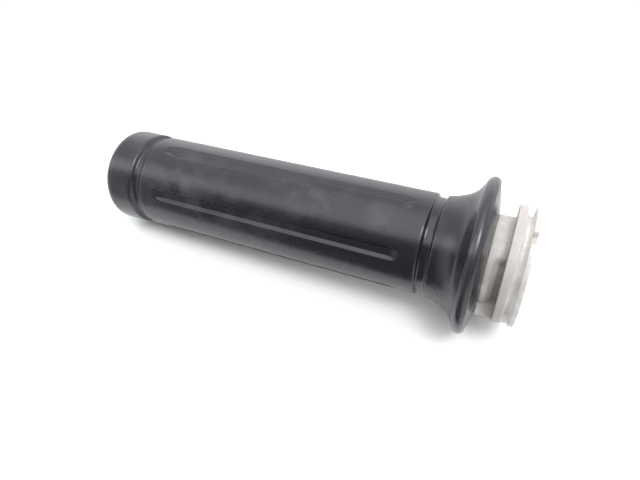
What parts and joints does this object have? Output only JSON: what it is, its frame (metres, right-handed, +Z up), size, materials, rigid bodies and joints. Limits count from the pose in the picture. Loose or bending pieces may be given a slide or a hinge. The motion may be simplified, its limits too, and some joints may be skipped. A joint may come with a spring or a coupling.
{
  "type": "motorcycle throttle grip",
  "caption": "Right-hand twist grip: black rubber sleeve with a hand-guard flange and closed end on a natural nylon throttle tube whose cable drum sits behind the flange.",
  "frame": {"origin": "centre of the handlebar bore's mouth, on the cable drum's end face", "axes": "+X along the handlebar bore from the drum to the closed outer end of the grip; +Z up, through the middle of one channel; +Y towards the housing peg track's side"},
  "size_m": [0.1423, 0.0478, 0.0478],
  "materials": {
    "rubber": "worn satin moulded rubber",
    "nylon": "natural nylon, slightly waxy"
  },
  "bodies": {
    "root": {"grip_sleeve": "rubber", "throttle_tube": "nylon"}
  },
  "joints": []
}
